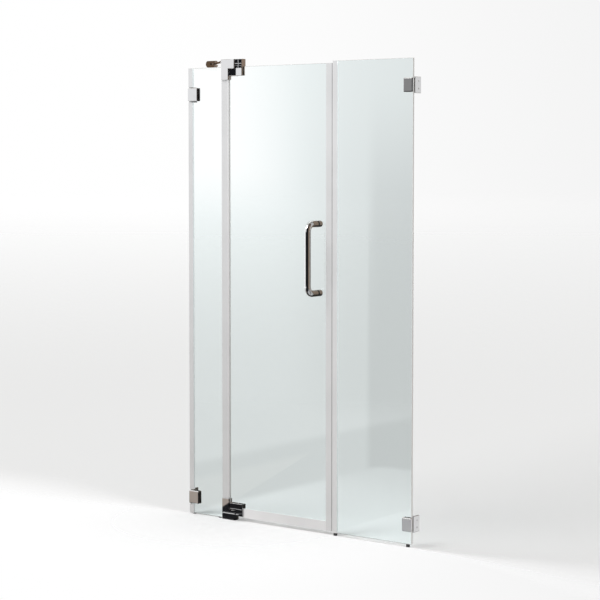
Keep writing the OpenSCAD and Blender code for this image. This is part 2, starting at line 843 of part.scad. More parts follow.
// Round caps that the bolts screw into, on the shower side
module handle_inner_caps() {
    color(chrome_colour) at_posts() translate([0, glass_y + handle_washer_t, 0])
        rotate([-90, 0, 0]) difference() {
            rotate_extrude() polygon([
                [0, 0], [handle_r, 0], [handle_r, handle_cap_l - handle_cap_bevel],
                [handle_r - handle_cap_bevel, handle_cap_l], [0, handle_cap_l]
            ]);
            translate([0, 0, -over])
                cylinder(r = handle_bolt_r + snug, h = handle_cap_l - handle_cap_end + over + snug);
        }
}

// Seals and profiles

// U-shaped profile open to +X, with its back between x0 and x1 and its legs w wide
module u_profile(x0, x1, w) {
    difference() {
        translate([x0, -seal_y1]) square([w, 2 * seal_y1]);
        translate([x1, -seal_y0]) square([w, 2 * seal_y0]);
    }
}

module left_wall_channel() {
    color(seal_colour) difference() {
        along_z(left_lift, top_z) u_profile(wall_l, wall_l + wall_channel_web, wall_channel_w);
        for (z = left_clamps)
            slab(wall_l - over, wall_l + left_clamp_w, -half_depth, half_depth,
                z - clamp_h / 2 - wall_leg_over - part_gap,
                z + clamp_h / 2 + wall_leg_over + part_gap);
    }
}

// Seal on the left panel's free edge, with a soft lip towards the door
module hinge_side_seal() {
    back_x = hinge_seal_web - panel_edge_back;
    lip_x = -norm([door_edge_back, glass_y - glass_bevel]) - part_gap;
    color(seal_colour) along_z(door_lift + hinge_leg + edge_gap, top_z - hinge_leg - edge_gap) {
        mirror([1, 0]) u_profile(-back_x, panel_edge_back, hinge_seal_w);
        translate([back_x - hinge_seal_web / 2, -lip_t / 2])
            square([lip_x - back_x + hinge_seal_web / 2, lip_t]);
    }
}

// Pocket for a magnet strip in a profile's back that starts at x
module magnet_pocket(x) {
    translate([x + magnet_wall - snug, -magnet_w / 2 - snug])
        square([magnet_t + 2 * snug, magnet_w + 2 * snug]);
}

module door_edge_seal() {
    color(seal_colour) along_z(sweep_z0, top_z) difference() {
        mirror([1, 0]) u_profile(-edge_seal_x1, -door_x1, edge_seal_w);
        magnet_pocket(door_x1);
    }
}

module door_edge_magnet() {
    color(magnet_colour) slab(door_x1 + magnet_wall, door_x1 + magnet_wall + magnet_t,
        -magnet_w / 2, magnet_w / 2, sweep_z0, top_z);
}

// Profile on the right panel that the door closes against, with a stop fin behind the door
module strike_profile() {
    fin_y = seal_y1 + part_gap;
    root_y = seal_y1 - seal_leg_t / 2;
    color(seal_colour) along_z(right_z0, right_z1) {
        difference() {
            u_profile(strike_x0, right_x0, strike_w);
            magnet_pocket(strike_x0);
        }
        polygon([
            [strike_x0 - stop_lap - strike_gap, fin_y],
            [strike_x0 + magnet_wall, fin_y], [strike_x0 + magnet_wall, root_y],
            [strike_x0 + 2 * magnet_web, root_y],
            [strike_x0 + magnet_web, fin_y + stop_t],
            [strike_x0 - stop_lap - strike_gap, fin_y + stop_t]
        ]);
    }
}

module strike_magnet() {
    color(magnet_colour) slab(strike_x0 + magnet_wall, strike_x0 + magnet_wall + magnet_t,
        -magnet_w / 2, magnet_w / 2, right_z0, right_z1);
}

// Sweep under the door: two legs on the glass, a skirt outside, a fin in the middle and a
// sloping drip rail inside
module bottom_sweep() {
    x0 = door_reach + edge_gap;
    x1 = edge_seal_x1 - edge_seal_w - edge_gap;
    z1 = door_lift - seal_clear;
    web_z = z1 - sweep_web;
    rail_y = seal_y1 + drip_reach;
    skirt_y = seal_leg_t - seal_y1;
    color(seal_colour) along_x(x0, x1) polygon([
        [-seal_y1, z1 + sweep_up], [-seal_y0, z1 + sweep_up], [-seal_y0, z1],
        [seal_y0, z1], [seal_y0, z1 + sweep_up], [seal_y1, z1 + sweep_up],
        [seal_y1, web_z], [rail_y, web_z - drip_reach], [rail_y - drip_w, web_z - drip_reach],
        [seal_y1 - drip_w, web_z], [lip_t / 2, web_z], [lip_t / 2, sweep_z0 + over],
        [-lip_t / 2, sweep_z0 + over], [-lip_t / 2, web_z],
        [skirt_y, web_z], [skirt_y, sweep_z0], [-seal_y1, sweep_z0]
    ]);
}

// Blocks that the fixed panels stand on
module setting_blocks(xs, h) {
    for (x = xs) slab(x, x + block_l, -glass_y + glass_bevel, glass_y - glass_bevel, 0, h);
}

module left_setting_blocks() {
    color(rubber_colour)
        setting_blocks([left_x0 + block_l, -fixed_reach - notch_gap - 2 * block_l], left_lift);
}

module right_setting_blocks() {
    color(rubber_colour) setting_blocks([right_x0 + glass_bevel, right_x1 - 2 * block_l], right_z0);
}

left_fixed_panel();
door_panel();
right_fixed_panel();
left_top_clamp_body();
left_bottom_clamp_body();
right_top_clamp_body();
right_bottom_clamp_body();
left_top_clamp_cover();
left_bottom_clamp_cover();
right_top_clamp_cover();
right_bottom_clamp_cover();
wall_clamp_gaskets();
wall_clamp_screws();
wall_clamp_sleeves();
top_bracket_body();
top_bracket_back_plate();
bottom_bracket_body();
bottom_bracket_back_plate();
bracket_gaskets();
bracket_screws();
bracket_sleeves();
top_pivot_pin();
bottom_pivot_pin();
pivot_grub_screws();
top_door_clamp_body();
top_door_clamp_back_plate();
bottom_door_clamp_body();
bottom_door_clamp_back_plate();
door_clamp_gaskets();
door_clamp_screws();
door_clamp_sleeves();
top_pivot_bush();
bottom_pivot_bush();
bottom_bracket_pad();
brace_wall_socket();
brace_grub_screw();
brace_rod();
brace_swivel_pin();
brace_knuckle();
handle_tube();
handle_inserts();
handle_bolts();
handle_sleeves();
handle_washers();
handle_inner_caps();
left_wall_channel();
hinge_side_seal();
door_edge_seal();
door_edge_magnet();
strike_profile();
strike_magnet();
bottom_sweep();
left_setting_blocks();
right_setting_blocks();
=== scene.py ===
"""Frameless pivot shower door: its finishes, rounded edges and handle, in a pale studio."""

import logging
import math
from collections.abc import Iterable, Sequence
from dataclasses import dataclass, field
from enum import Enum
from typing import Any

import bpy
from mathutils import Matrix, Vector


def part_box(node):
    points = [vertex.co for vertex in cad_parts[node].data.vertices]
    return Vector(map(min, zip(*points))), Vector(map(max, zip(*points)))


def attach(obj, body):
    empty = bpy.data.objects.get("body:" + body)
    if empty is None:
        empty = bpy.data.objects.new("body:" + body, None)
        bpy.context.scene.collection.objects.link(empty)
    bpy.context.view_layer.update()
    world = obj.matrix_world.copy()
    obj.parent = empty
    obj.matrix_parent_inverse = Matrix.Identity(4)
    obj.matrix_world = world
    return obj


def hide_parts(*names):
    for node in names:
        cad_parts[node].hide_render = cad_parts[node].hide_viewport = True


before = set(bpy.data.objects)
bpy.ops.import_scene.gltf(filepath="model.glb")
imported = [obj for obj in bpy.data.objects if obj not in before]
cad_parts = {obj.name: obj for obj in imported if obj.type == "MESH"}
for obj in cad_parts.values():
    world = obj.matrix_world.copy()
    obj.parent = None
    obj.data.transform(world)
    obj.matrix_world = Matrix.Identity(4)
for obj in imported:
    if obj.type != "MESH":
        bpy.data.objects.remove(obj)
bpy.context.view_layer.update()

log = logging.getLogger("shower_door")

Triple = tuple[float, float, float]
RGB = Triple
Range = tuple[float, float]
Band = tuple[float, float, float, float]

MM = 0.001
MERGE_DISTANCE = 0.002 * MM
FLAT_ANGLE = math.radians(0.4)
BLACK = (0.0, 0.0, 0.0)
WHITE = (1.0, 1.0, 1.0)


class Body(Enum):
    """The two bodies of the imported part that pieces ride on."""

    FIXED = "fixed_side"
    DOOR = "door"


class Slot(Enum):
    """The record's material slots."""

    GLASS = "clear_glass"
    CHROME = "polished_chrome"
    STEEL = "stainless_steel"
    NYLON = "white_nylon"
    RUBBER = "dark_rubber"
    VINYL = "pale_vinyl"
    MAGNET = "magnet_strip"


class Signal:
    """A value in a node tree, on which Python arithmetic adds Math nodes."""

    def __init__(self, graph: "Graph", socket: bpy.types.NodeSocket) -> None:
        """Wraps one output socket.

        Args:
            graph: The node tree that the socket belongs to.
            socket: The output that carries the value.
        """
        self.graph = graph
        self.socket = socket

    def math(self, operation: str, *others: "Signal | float", first: bool = True) -> "Signal":
        """Adds one Math node.

        Args:
            operation: The node's operation, such as ADD.
            others: The other operands.
            first: Whether this value is the first operand.

        Returns:
            The node's result.
        """
        operands = [self, *others] if first else [*others, self]
        node = self.graph.add("ShaderNodeMath", {"operation": operation},
                              dict(enumerate(operands)))
        return Signal(self.graph, node.outputs[0])

    def __add__(self, other: "Signal | float") -> "Signal":
        """Sum."""
        return self.math("ADD", other)

    def __radd__(self, other: float) -> "Signal":
        """Sum with a number on the left."""
        return self.math("ADD", other, first=False)

    def __sub__(self, other: "Signal | float") -> "Signal":
        """Difference."""
        return self.math("SUBTRACT", other)

    def __rsub__(self, other: float) -> "Signal":
        """Difference from a number on the left."""
        return self.math("SUBTRACT", other, first=False)

    def __mul__(self, other: "Signal | float") -> "Signal":
        """Product."""
        return self.math("MULTIPLY", other)

    def __rmul__(self, other: float) -> "Signal":
        """Product with a number on the left."""
        return self.math("MULTIPLY", other, first=False)

    def __truediv__(self, other: "Signal | float") -> "Signal":
        """Quotient."""
        return self.math("DIVIDE", other)

    def __rtruediv__(self, other: float) -> "Signal":
        """Quotient of a number on the left."""
        return self.math("DIVIDE", other, first=False)

    def __neg__(self) -> "Signal":
        """Opposite value."""
        return self.math("MULTIPLY", -1.0)

    def __abs__(self) -> "Signal":
        """Absolute value."""
        return self.math("ABSOLUTE")

    def __gt__(self, other: "Signal | float") -> "Signal":
        """One where this value is the larger, else zero."""
        return self.math("GREATER_THAN", other)

    def ramp(self, start: float, end: float, low: float = 0.0, high: float = 1.0) -> "Signal":
        """Goes smoothly from low at start to high at end.

        Args:
            start: The value at which the result leaves low.
            end: The value at which it reaches high.
            low: The result up to start.
            high: The result past end.

        Returns:
            The smoothed value.
        """
        node = self.graph.add("ShaderNodeMapRange", {"interpolation_type": "SMOOTHSTEP"},
                              {"Value": self, "From Min": start, "From Max": end,
                               "To Min": low, "To Max": high})
        return Signal(self.graph, node.outputs[0])

    def fall(self, start: float, end: float) -> "Signal":
        """Goes smoothly from one at start to zero at end."""
        return self.ramp(start, end, 1.0, 0.0)

    def band(self, start: float, full: float, drop: float, end: float) -> "Signal":
        """One between two values and zero outside them, with soft sides.

        Args:
            start: The value at which the result leaves zero.
            full: The value at which it reaches one.
            drop: The value at which it leaves one.
            end: The value from which it is zero again.

        Returns:
            The mask.
        """
        return self.ramp(start, full) * self.fall(drop, end)


class Graph:
    """The node tree of one material or of the world."""

    def __init__(self, owner: bpy.types.Material | bpy.types.World) -> None:
        """Empties the owner's node tree.

        Args:
            owner: The material or world whose tree is built.
        """
        owner.use_nodes = True
        self.owner = owner
        self.tree = owner.node_tree
        self.tree.nodes.clear()

    def add(self, kind: str, settings: dict[str, Any] | None = None,
            inputs: dict[str | int, Any] | None = None) -> bpy.types.Node:
        """Adds a node, the one way in which this script does so.

        Args:
            kind: The node's type.
            settings: Its properties, set first.
            inputs: The values or links of its sockets, by name or place.

        Returns:
            The new node.
        """
        node = self.tree.nodes.new(kind)
        for name, value in (settings or {}).items():
            setattr(node, name, value)
        for key, value in (inputs or {}).items():
            if isinstance(value, Signal):
                self.tree.links.new(value.socket, node.inputs[key])
            elif isinstance(value, bpy.types.NodeSocket):
                self.tree.links.new(value, node.inputs[key])
            else:
                node.inputs[key].default_value = value
        return node

    def signal(self, node: bpy.types.Node, key: str | int = 0) -> Signal:
        """Wraps one of a node's outputs."""
        return Signal(self, node.outputs[key])

    def parts(self, vector: bpy.types.NodeSocket) -> tuple[Signal, Signal, Signal]:
        """The parts of a vector along X, Y and Z."""
        node = self.add("ShaderNodeSeparateXYZ", {}, {0: vector})
        return self.signal(node, "X"), self.signal(node, "Y"), self.signal(node, "Z")

    def facing(self) -> tuple[Signal, Signal, Signal]:
        """The parts of the direction that the surface faces."""
        return self.parts(self.add("ShaderNodeTexCoord").outputs["Normal"])

    def ray(self, kind: str) -> Signal:
        """What the light path says about a ray."""
        return self.signal(self.add("ShaderNodeLightPath"), kind)

    def bounced(self, kind: str) -> Signal:
        """One for a ray after a bounce of that kind, such as Glossy, else zero.

        A ray that only came through glass has no Glossy bounce, though Is Glossy Ray may
        count it as one.
        """
        return self.ray(f"{kind} Depth") > 0.5

    def place(self, stretch: Sequence[float] = (1, 1, 1)) -> bpy.types.NodeSocket:
        """Object coordinates, stretched along each axis by a Mapping node."""
        source = self.add("ShaderNodeTexCoord")
        mapping = self.add("ShaderNodeMapping", {"vector_type": "POINT"},
                           {"Vector": source.outputs["Object"], "Scale": tuple(stretch)})
        return mapping.outputs[0]

    def noise(self, vector: bpy.types.NodeSocket, scale: float, detail: float = 2.0,
              roughness: float = 0.5) -> Signal:
        """A noise value between 0 and 1.

        Args:
            vector: The coordinates that the noise follows.
            scale: How many blotches lie in a metre.
            detail: The number of finer layers.
            roughness: The weight of those layers.

        Returns:
            The noise value.
        """
        node = self.add("ShaderNodeTexNoise", {},
                        {"Vector": vector, "Scale": scale, "Detail": detail,
                         "Roughness": roughness})
        return self.signal(node)

    def tint(self, factor: Signal | float, first: Any, second: Any) -> bpy.types.NodeSocket:
        """Mixes two colours.

        Args:
            factor: The share of the second colour.
            first: The first colour, or a socket.
            second: The second colour, or a socket.

        Returns:
            The mixed colour.
        """
        def paint(colour: Any) -> Any:
            """A colour with the alpha that a socket wants."""
            return (*colour, 1.0) if isinstance(colour, tuple) else colour

        node = self.add("ShaderNodeMix", {"data_type": "RGBA"},
                        {0: factor, 6: paint(first), 7: paint(second)})
        return node.outputs[2]

    def bump(self, height: Signal, strength: float, distance: float) -> bpy.types.NodeSocket:
        """A normal that a height pattern tilts.

        Args:
            height: The height pattern.
            strength: The share of the effect, 0 to 1.
            distance: The height in metres that a value of 1 stands for.

        Returns:
            The tilted normal.
        """
        node = self.add("ShaderNodeBump", {},
                        {"Strength": strength, "Distance": distance, "Height": height})
        return node.outputs[0]

    def blend(self, factor: Signal | float, first: bpy.types.NodeSocket,
              second: bpy.types.NodeSocket) -> bpy.types.NodeSocket:
        """Mixes two shaders.

        Args:
            factor: The share of the second shader.
            first: The first shader.
            second: The second shader.

        Returns:
            The mixed shader.
        """
        node = self.add("ShaderNodeMixShader", {}, {0: factor, 1: first, 2: second})
        return node.outputs[0]

    def surface(self, shader: bpy.types.NodeSocket) -> None:
        """Joins a shader to the material's output."""
        self.add("ShaderNodeOutputMaterial", {}, {"Surface": shader})

    def principled(self, **sockets: Any) -> bpy.types.NodeSocket:
        """Adds a Principled shader.

        Args:
            sockets: Its inputs, with an underscore for each space in a name.

        Returns:
            The shader output.
        """
        inputs = {name.replace("_", " "): value for name, value in sockets.items()}
        return self.add("ShaderNodeBsdfPrincipled", {}, inputs).outputs[0]


def new_graph(name: str) -> Graph:
    """A node tree in a new material of that name."""
    return Graph(bpy.data.materials.new(name))


@dataclass(frozen=True)
class ClearGlass:
    """Tempered glass with ground edges."""

    tint: RGB = (0.905, 0.965, 0.965)
    index: float = 1.5
    shade: float = 0.85
    edge_colour: RGB = (0.94, 0.91, 0.875)
    # painted reflection on the level top edges, and painted shade on the level edges by the floor
    top_edge_painted_reflection: RGB = (0.66, 0.53, 0.44)
    foot_edge_painted_shade: RGB = (0.12, 0.12, 0.11)
    foot_shade_height: Range = (0.3, 0.5)
    edge_facing: Range = (0.6, 0.8)
    edge_roughness: float = 0.32
    edge_clearness: float = 0.3
    grain_scale: float = 900.0
    grain_haze: float = 0.2
    grain_tilt: float = 0.3
    grain_depth: float = 0.2 * MM
    smear_scale: float = 3.0
    smear_share: Range = (0.55, 0.8)
    smear_haze: float = 0.004

    def build(self) -> bpy.types.Material:
        """Makes the material.

        Returns:
            Clear faces and frosted edges, with a painted reflection on the level edges above and
            painted shade on those by the floor, and a light shadow.
        """
        graph = new_graph("tempered glass")
        _, across, upwards = graph.facing()
        edge = 1.0 - abs(across).ramp(*self.edge_facing)
        smears = graph.noise(graph.place(), self.smear_scale, detail=4.0)
        clear = graph.principled(
            Base_Color=(*self.tint, 1.0),
            Roughness=smears.ramp(*self.smear_share, 0.0, self.smear_haze),
            Transmission_Weight=1.0, IOR=self.index)
        grain = graph.noise(graph.place(), self.grain_scale)
        height = graph.parts(graph.place())[2]
        # level edges: painted shade near the floor, painted reflection above
        flat = graph.tint(height.ramp(*self.foot_shade_height), self.foot_edge_painted_shade, self.top_edge_painted_reflection)
        ground = graph.principled(
            Base_Color=graph.tint(abs(upwards).ramp(*self.edge_facing), self.edge_colour, flat),
            Roughness=grain * self.grain_haze + self.edge_roughness,
            Transmission_Weight=self.edge_clearness, IOR=self.index,
            Normal=graph.bump(grain, self.grain_tilt, self.grain_depth))
        glass = graph.blend(edge, clear, ground)
        veil = graph.add("ShaderNodeBsdfTransparent", {},
                         {"Color": (self.shade, self.shade, self.shade, 1.0)})
        graph.surface(graph.blend(graph.ray("Is Shadow Ray"), glass, veil.outputs[0]))
        return graph.owner


@dataclass(frozen=True)
class Chrome:
    """Polished chrome plate with faint smudges."""

    tone: RGB = (0.78, 0.78, 0.785)
    smudge_tone: RGB = (0.745, 0.745, 0.75)
    roughness: float = 0.02
    smudge_scale: float = 26.0
    smudge_share: Range = (0.5, 0.75)
    smudge_haze: float = 0.035
    ripple_scale: float = 160.0
    ripple_tilt: float = 0.25
    ripple_depth: float = 0.004 * MM

    def build(self) -> bpy.types.Material:
        """Makes the material.

        Returns:
            A mirror metal whose gloss and tone drift a little.
        """
        graph = new_graph("polished chrome")
        smudge = graph.noise(graph.place(), self.smudge_scale, detail=4.0, roughness=0.6)
        smudge = smudge.ramp(*self.smudge_share)
        ripple = graph.noise(graph.place(), self.ripple_scale, detail=1.0)
        graph.surface(graph.principled(
            Base_Color=graph.tint(smudge, self.tone, self.smudge_tone),
            Roughness=smudge * self.smudge_haze + self.roughness, Metallic=1.0,
            Normal=graph.bump(ripple, self.ripple_tilt, self.ripple_depth)))
        return graph.owner


@dataclass(frozen=True)
class TurnedSteel:
    """Stainless steel with the fine marks of turning."""

    tone: RGB = (0.50, 0.50, 0.51)
    dull_tone: RGB = (0.40, 0.40, 0.41)
    roughness: float = 0.22
    mark_scale: float = 420.0
    mark_stretch: Triple = (1.0, 6.0, 1.0)
    mark_haze: float = 0.16
    mark_tilt: float = 0.2
    mark_depth: float = 0.05 * MM

    def build(self) -> bpy.types.Material:
        """Makes the material.

        Returns:
            A satin metal with fine grain.
        """
        graph = new_graph("turned steel")
        marks = graph.noise(graph.place(self.mark_stretch), self.mark_scale, detail=3.0)
        graph.surface(graph.principled(
            Base_Color=graph.tint(marks, self.tone, self.dull_tone),
            Roughness=marks * self.mark_haze + self.roughness, Metallic=1.0,
            Normal=graph.bump(marks, self.mark_tilt, self.mark_depth)))
        return graph.owner


@dataclass(frozen=True)
class Vinyl:
    """Pale extruded vinyl with drawing lines along its length."""

    name: str = "pale vinyl"
    tone: RGB = (0.87, 0.872, 0.878)
    # painted shade: the profile darkens from its tone at the top to this colour at the floor
    low_painted_shade: RGB = (0.60, 0.592, 0.588)
    painted_shade_height: Range = (-0.2, 2.0)
    roughness: float = 0.34
    # painted glow: emission in the vinyl's own tone, where it lies against the glass and on its
    # sides
    painted_glow: float = 0.5
    painted_glow_depth: Range = (0.003, 0.005)
    side_facing: Range = (0.6, 0.8)
    side_painted_glow: float = 0.7
    # painted shade on the sides that face along the door
    side_painted_shade: float = 0.0
    dust: float = 0.94
    cloud_scale: float = 5.0
    cloud_share: Range = (0.35, 0.75)
    line_axis: int = 2
    line_scale: float = 6.0
    line_squeeze: float = 90.0
    line_run: float = 0.6
    line_haze: float = 0.14
    line_tilt: float = 0.3
    line_depth: float = 0.08 * MM

    def build(self) -> bpy.types.Material:
        """Makes the material.

        Returns:
            A soft plastic with faint lines and clouding. Painted shade makes it greyer towards
            the floor, and some profiles have painted shade on their sides. A painted glow lights
            its sides and the faces where it lies against the glass.
        """
        graph = new_graph(self.name)
        stretch = [self.line_squeeze] * 3
        stretch[self.line_axis] = self.line_run
        lines = graph.noise(graph.place(stretch), self.line_scale, detail=3.0)
        clouds = graph.noise(graph.place(), self.cloud_scale, detail=3.0).ramp(*self.cloud_share)
        _, depth, height = graph.parts(graph.place())
        along, across, _ = graph.facing()
        # painted shade, darker towards the floor
        tone = graph.tint(height.ramp(*self.painted_shade_height), self.low_painted_shade, self.tone)
        dusty = graph.tint(self.dust, BLACK, tone)
        # painted glow on the faces that lie against the glass
        inner = (-(depth * across)).ramp(*self.painted_glow_depth)
        sideways = abs(along).ramp(*self.side_facing)
        graph.surface(graph.principled(
            # base colour with painted shade on the sides
            Base_Color=graph.tint(sideways * self.side_painted_shade,
                                  graph.tint(clouds, tone, dusty), BLACK),
            Emission_Color=graph.tint(inner + sideways * self.side_painted_glow, BLACK, tone),
            Emission_Strength=self.painted_glow,
            Roughness=lines * self.line_haze + self.roughness,
            Normal=graph.bump(lines, self.line_tilt, self.line_depth)))
        return graph.owner


@dataclass(frozen=True)
class Nylon:
    """White moulded nylon."""

    tone: RGB = (0.80, 0.80, 0.77)
    stained_tone: RGB = (0.72, 0.71, 0.67)
    roughness: float = 0.42
    stain_scale: float = 60.0
    stain_share: Range = (0.45, 0.8)
    grain_scale: float = 700.0
    grain_haze: float = 0.15
    grain_tilt: float = 0.25
    grain_depth: float = 0.1 * MM

    def build(self) -> bpy.types.Material:
        """Makes the material.

        Returns:
            A waxy white plastic with a fine mould grain.
        """
        graph = new_graph("white nylon")
        grain = graph.noise(graph.place(), self.grain_scale)
        stain = graph.noise(graph.place(), self.stain_scale).ramp(*self.stain_share)
        graph.surface(graph.principled(
            Base_Color=graph.tint(stain, self.tone, self.stained_tone),
            Roughness=grain * self.grain_haze + self.roughness,
            Normal=graph.bump(grain, self.grain_tilt, self.grain_depth)))
        return graph.owner


@dataclass(frozen=True)
class Rubber:
    """Dark sheet rubber."""

    name: str = "dark rubber"
    tone: RGB = (0.035, 0.035, 0.036)
    chalky_tone: RGB = (0.075, 0.073, 0.07)
    roughness: float = 0.62
    chalk_scale: float = 45.0
    chalk_share: Range = (0.5, 0.8)
    grain_scale: float = 900.0
    grain_haze: float = 0.2
    grain_tilt: float = 0.4
    grain_depth: float = 0.15 * MM

    def build(self) -> bpy.types.Material:
        """Makes the material.

        Returns:
            A matt dark sheet with a fine grain and chalky patches.
        """
        graph = new_graph(self.name)
        grain = graph.noise(graph.place(), self.grain_scale)
        chalk = graph.noise(graph.place(), self.chalk_scale, detail=3.0).ramp(*self.chalk_share)
        graph.surface(graph.principled(
            Base_Color=graph.tint(chalk, self.tone, self.chalky_tone),
            Roughness=grain * self.grain_haze + self.roughness,
            Normal=graph.bump(grain, self.grain_tilt, self.grain_depth)))
        return graph.owner


@dataclass
class Finishes:
    """One material for each of the record's slots, and those of profiles that differ."""

    materials: dict[Slot, bpy.types.Material] = field(default_factory=dict)
    profiles: dict[str, bpy.types.Material] = field(default_factory=dict)

    def build(self) -> None:
        """Makes all the materials."""
        # each profile sets its own painted shade at the floor; the meeting profile paints shade
        # on its sides in place of a glow
        sweep = Vinyl("sweep vinyl", low_painted_shade=(0.78, 0.77, 0.765), line_axis=0)
        meeting = Vinyl("meeting vinyl", low_painted_shade=(0.68, 0.672, 0.668), side_painted_glow=0.0,
                        side_painted_shade=0.48)
        strike = Vinyl("strike vinyl", tone=(0.885, 0.887, 0.893),
                       low_painted_shade=(0.71, 0.702, 0.698))
        magnet = Rubber("magnet strip", (0.05, 0.043, 0.038), (0.09, 0.08, 0.07), 0.5)
        self.profiles = {
            "bottom_sweep": sweep.build(),
            "door_edge_seal": meeting.build(),
            "strike_profile": strike.build(),
        }
        self.materials = {
            Slot.GLASS: ClearGlass().build(),
            Slot.CHROME: Chrome().build(),
            Slot.STEEL: TurnedSteel().build(),
            Slot.NYLON: Nylon().build(),
            Slot.RUBBER: Rubber().build(),
            Slot.VINYL: Vinyl().build(),
            Slot.MAGNET: magnet.build(),
        }

    def pick(self, slot: Slot, nodes: Sequence[str]) -> bpy.types.Material:
        """The finish of a piece.

        Args:
            slot: Its slot.
            nodes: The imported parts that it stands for.

        Returns:
            The finish of the profile among them, or else the slot's.
        """
        own = [self.profiles[node] for node in nodes if node in self.profiles]
        return own[0] if own else self.materials[slot]


def focus(piece: bpy.types.Object) -> None:
    """Selects one object alone and makes it the active one."""
    bpy.ops.object.select_all(action="DESELECT")
    piece.select_set(True)
    bpy.context.view_layer.objects.active = piece


def apply_modifiers(piece: bpy.types.Object) -> None:
    """Applies all of a piece's modifiers, in order."""
    focus(piece)
    for modifier in list(piece.modifiers):
        bpy.ops.object.modifier_apply(modifier=modifier.name)


@dataclass(frozen=True)
class Edge:
    """The small radius on a piece's edges."""

    width: float
    segments: int = 3
    sharpest: float = math.radians(32)
    flat_weight: int = 80

    def round(self, piece: bpy.types.Object) -> None:
        """Rounds every edge that is sharper than the limit.

        Args:
            piece: The mesh object, in object mode.
        """
        bevel = piece.modifiers.new("edge radius", "BEVEL")
        bevel.width = self.width
        bevel.segments = self.segments
        bevel.limit_method = "ANGLE"
        bevel.angle_limit = self.sharpest
        bevel.miter_outer = "MITER_ARC"
        apply_modifiers(piece)
        bpy.ops.object.shade_smooth_by_angle(angle=self.sharpest)
        flat = piece.modifiers.new("flat faces", "WEIGHTED_NORMAL")
        flat.mode = "FACE_AREA"
        flat.weight = self.flat_weight
        flat.keep_sharp = True
        apply_modifiers(piece)


@dataclass
class Assembly:
    """What every sub-assembly shares: its finishes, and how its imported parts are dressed."""

    finishes: Finishes

    def paint(self, slot: Slot, *nodes: str) -> None:
        """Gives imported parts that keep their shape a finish.

        Args:
            slot: The finish.
            nodes: The parts' names.
        """
        for name in nodes:
            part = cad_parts[name]
            for holder in part.material_slots:
                holder.material = self.finishes.materials[slot]
            log.info("%s keeps its shape, %s", name, slot.value)

    def soften(self, slot: Slot, body: Body, edge: Edge, *nodes: str) -> None:
        """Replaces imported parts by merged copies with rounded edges.

        Args:
            slot: The finish.
            body: The body that they ride on.
            edge: The radius of their edges.
            nodes: The parts' names.
        """
        for name in nodes:
            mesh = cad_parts[name].data.copy()
            piece = bpy.data.objects.new(f"{name}_rounded", mesh)
            bpy.context.scene.collection.objects.link(piece)
            focus(piece)
            bpy.ops.mesh.customdata_custom_splitnormals_clear()
            bpy.ops.object.mode_set(mode="EDIT")
            bpy.ops.mesh.select_all(action="SELECT")
            bpy.ops.mesh.remove_doubles(threshold=MERGE_DISTANCE)
            bpy.ops.mesh.dissolve_limited(angle_limit=FLAT_ANGLE)
            bpy.ops.object.mode_set(mode="OBJECT")
            edge.round(piece)
            self.finish(piece, slot, body, name)

    def finish(self, piece: bpy.types.Object, slot: Slot, body: Body, *nodes: str) -> None:
        """Dresses a new piece and puts it in its place in the frame.

        Args:
            piece: The new piece.
            slot: Its finish.
            body: The body that it rides on.
            nodes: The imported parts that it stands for.
        """
        piece.data.materials.clear()
        piece.data.materials.append(self.finishes.pick(slot, nodes))
        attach(piece, body.value)
        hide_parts(*nodes)
        log.info("%s rides on %s, %s, %d faces", piece.name, body.value, slot.value,
                 len(piece.data.polygons))


@dataclass
class GlassPanels(Assembly):
    """The two fixed panels and the door glass."""

    def build(self) -> None:
        """Dresses the glass."""
        self.paint(Slot.GLASS, "left_fixed_panel", "door_panel", "right_fixed_panel")


@dataclass
class WallClamps(Assembly):
    """The four square clamps that hold the fixed panels at their outer edges."""

    corners: tuple[str, ...] = ("left_top", "left_bottom", "right_top", "right_bottom")
    edge: Edge = Edge(0.35 * MM)
    head_edge: Edge = Edge(0.2 * MM, 2)

    def build(self) -> None:
        """Rounds the plates and dresses what is between them."""
        for corner in self.corners:
            self.soften(Slot.CHROME, Body.FIXED, self.edge,
                        f"{corner}_clamp_body", f"{corner}_clamp_cover")
        self.soften(Slot.STEEL, Body.FIXED, self.head_edge, "wall_clamp_screws")
        self.paint(Slot.RUBBER, "wall_clamp_gaskets")
        self.paint(Slot.NYLON, "wall_clamp_sleeves")


@dataclass
class PivotHinges(Assembly):
    """The top and bottom pivot hinges, each a fixed and a moving half."""

    ends: tuple[str, ...] = ("top", "bottom")
    edge: Edge = Edge(0.3 * MM)
    head_edge: Edge = Edge(0.2 * MM, 2)

    def build(self) -> None:
        """Rounds the castings and dresses what is in them."""
        for end in self.ends:
            self.soften(Slot.CHROME, Body.FIXED, self.edge,
                        f"{end}_bracket_body", f"{end}_bracket_back_plate")
            self.soften(Slot.CHROME, Body.DOOR, self.edge,
                        f"{end}_door_clamp_body", f"{end}_door_clamp_back_plate")
            self.paint(Slot.STEEL, f"{end}_pivot_pin")
            self.paint(Slot.NYLON, f"{end}_pivot_bush")
        self.soften(Slot.STEEL, Body.FIXED, self.head_edge, "bracket_screws", "pivot_grub_screws")
        self.soften(Slot.STEEL, Body.DOOR, self.head_edge, "door_clamp_screws")
        self.paint(Slot.RUBBER, "bracket_gaskets", "door_clamp_gaskets", "bottom_bracket_pad")
        self.paint(Slot.NYLON, "bracket_sleeves", "door_clamp_sleeves")


@dataclass
class Brace(Assembly):
    """The rod that holds the top hinge from the left, with its socket and ball."""

    edge: Edge = Edge(0.4 * MM)
    small_edge: Edge = Edge(0.2 * MM, 2)

    def build(self) -> None:
        """Rounds the turned parts."""
        self.soften(Slot.CHROME, Body.FIXED, self.edge, "brace_wall_socket", "brace_rod")
        self.soften(Slot.STEEL, Body.FIXED, self.small_edge, "brace_swivel_pin",
                    "brace_grub_screw")
        self.paint(Slot.CHROME, "brace_knuckle")


